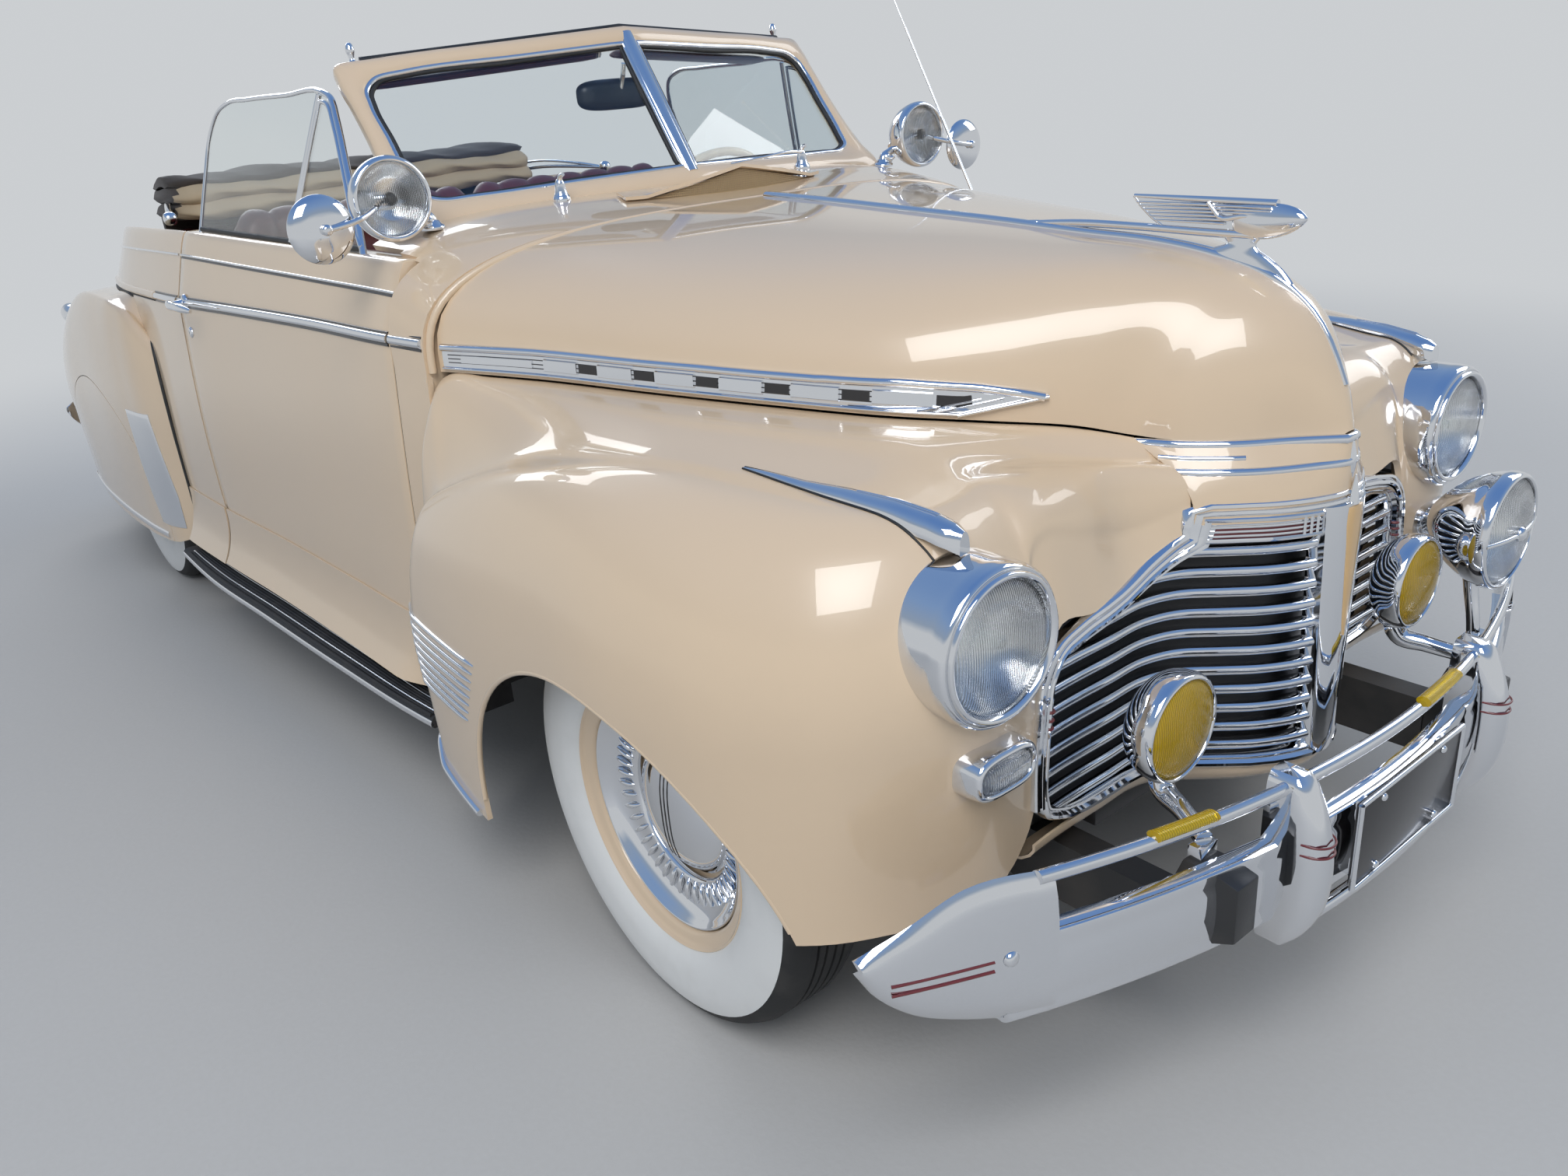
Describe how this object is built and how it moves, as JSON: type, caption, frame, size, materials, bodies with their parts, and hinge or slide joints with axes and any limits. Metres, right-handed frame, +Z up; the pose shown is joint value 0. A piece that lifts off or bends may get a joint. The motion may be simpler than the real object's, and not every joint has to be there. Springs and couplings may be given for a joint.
{
  "type": "early 1940s full-size american convertible car",
  "caption": "Full-size two-door convertible with pontoon fenders, a barred prow grille, skirted rear wheels and a folded top, whose wheels, doors, hood and trunk lid move.",
  "frame": {"origin": "middle of the car's length and width, on the ground", "axes": "+Z up, -Y is the way the car faces, +X is the car's left side"},
  "size_m": [1.85, 4.97, 1.7018],
  "materials": {
    "cream_paint": "glossy cream enamel",
    "cream_wheel": "glossy cream enamel with a chrome cap and trim ring",
    "tyre_rubber": "black rubber with a wide white sidewall",
    "black_frame": "satin black",
    "plain_steel": "dull",
    "chrome_plate": "polished",
    "clear_glass": "clear",
    "maroon_leather": "pleated, satin",
    "canvas": "woven",
    "board_rubber": "ribbed",
    "ivory_plastic": "glossy"
  },
  "bodies": {
    "chassis": {"antenna": "chrome_plate", "cowl": "cream_paint", "cross_member_middle": "black_frame", "cross_member_rear": "black_frame", "dashboard": "cream_paint", "driving_lamp": "chrome_plate", "engine": "plain_steel", "exhaust": "plain_steel", "fender_skirt_left": "cream_paint", "fender_skirt_right": "cream_paint", "floor_pan": "black_frame", "fog_lamp_left": "chrome_plate", "fog_lamp_right": "chrome_plate", "folded_top": "canvas", "frame_rail_left": "black_frame", "frame_rail_right": "black_frame", "front_bumper": "chrome_plate", "front_fender_left": "cream_paint", "front_fender_right": "cream_paint", "front_seat": "maroon_leather", "front_suspension": "black_frame", "fuel_tank": "black_frame", "grille": "chrome_plate", "headlamp_left": "chrome_plate", "headlamp_right": "chrome_plate", "nose_panel": "cream_paint", "radiator": "black_frame", "rear_axle": "black_frame", "rear_body": "cream_paint", "rear_bumper": "chrome_plate", "rear_fender_left": "cream_paint", "rear_fender_right": "cream_paint", "rear_seat": "maroon_leather", "running_board_left": "board_rubber", "running_board_right": "board_rubber", "spotlight_left": "chrome_plate", "spotlight_right": "chrome_plate", "steering_column": "ivory_plastic", "taillight_left": "chrome_plate", "taillight_right": "chrome_plate", "windshield_frame": "cream_paint", "windshield_glass": "clear_glass"},
    "hood": {"hood": "cream_paint"},
    "trunk_lid": {"trunk_lid": "cream_paint"},
    "door_left": {"door_left": "cream_paint", "door_window_left": "clear_glass"},
    "door_right": {"door_right": "cream_paint", "door_window_right": "clear_glass"},
    "steering_wheel": {"steering_wheel": "ivory_plastic"},
    "knuckle_left": {"knuckle_left": "black_frame"},
    "knuckle_right": {"knuckle_right": "black_frame"},
    "wheel_front_left": {"wheel_front_left": "cream_wheel", "tyre_front_left": "tyre_rubber"},
    "wheel_front_right": {"wheel_front_right": "cream_wheel", "tyre_front_right": "tyre_rubber"},
    "wheel_rear_left": {"wheel_rear_left": "cream_wheel", "tyre_rear_left": "tyre_rubber"},
    "wheel_rear_right": {"wheel_rear_right": "cream_wheel", "tyre_rear_right": "tyre_rubber"}
  },
  "joints": [
    {"name": "steer_left", "type": "hinge", "parent": "chassis", "child": "knuckle_left", "pos_m": [0.625, -1.665, 0.352], "axis": [0, 0, 1], "range_deg": [-30, 30]},
    {"name": "steer_right", "type": "hinge", "parent": "chassis", "child": "knuckle_right", "pos_m": [-0.625, -1.665, 0.352], "axis": [0, 0, 1], "range_deg": [-30, 30]},
    {"name": "steering_wheel_turn", "type": "hinge", "parent": "chassis", "child": "steering_wheel", "pos_m": [0.37, -0.33, 1.075], "axis": [0, 0.866, 0.5], "range_deg": [-480, 480]},
    {"name": "spin_front_left", "type": "hinge", "parent": "knuckle_left", "child": "wheel_front_left", "pos_m": [0.73, -1.665, 0.352], "axis": [1, 0, 0], "continuous": true},
    {"name": "spin_front_right", "type": "hinge", "parent": "knuckle_right", "child": "wheel_front_right", "pos_m": [-0.73, -1.665, 0.352], "axis": [1, 0, 0], "continuous": true},
    {"name": "spin_rear_left", "type": "hinge", "parent": "chassis", "child": "wheel_rear_left", "pos_m": [0.762, 1.281, 0.352], "axis": [1, 0, 0], "continuous": true},
    {"name": "spin_rear_right", "type": "hinge", "parent": "chassis", "child": "wheel_rear_right", "pos_m": [-0.762, 1.281, 0.352], "axis": [1, 0, 0], "continuous": true},
    {"name": "door_left_hinge", "type": "hinge", "parent": "chassis", "child": "door_left", "pos_m": [0.802, -0.863, 0.62], "axis": [0, 0, -1], "range_deg": [0, 65]},
    {"name": "door_right_hinge", "type": "hinge", "parent": "chassis", "child": "door_right", "pos_m": [-0.802, -0.863, 0.62], "axis": [0, 0, 1], "range_deg": [0, 65]},
    {"name": "hood_hinge", "type": "hinge", "parent": "chassis", "child": "hood", "pos_m": [0, -0.985, 1.206], "axis": [-1, 0, 0], "range_deg": [0, 50]},
    {"name": "trunk_hinge", "type": "hinge", "parent": "chassis", "child": "trunk_lid", "pos_m": [0, 1.387, 1.138], "axis": [1, 0, 0], "range_deg": [0, 70]}
  ],
  "couplings": [
    {"joint": "steer_right", "follows": "steer_left", "ratio": 1},
    {"joint": "steering_wheel_turn", "follows": "steer_left", "ratio": 16}
  ]
}
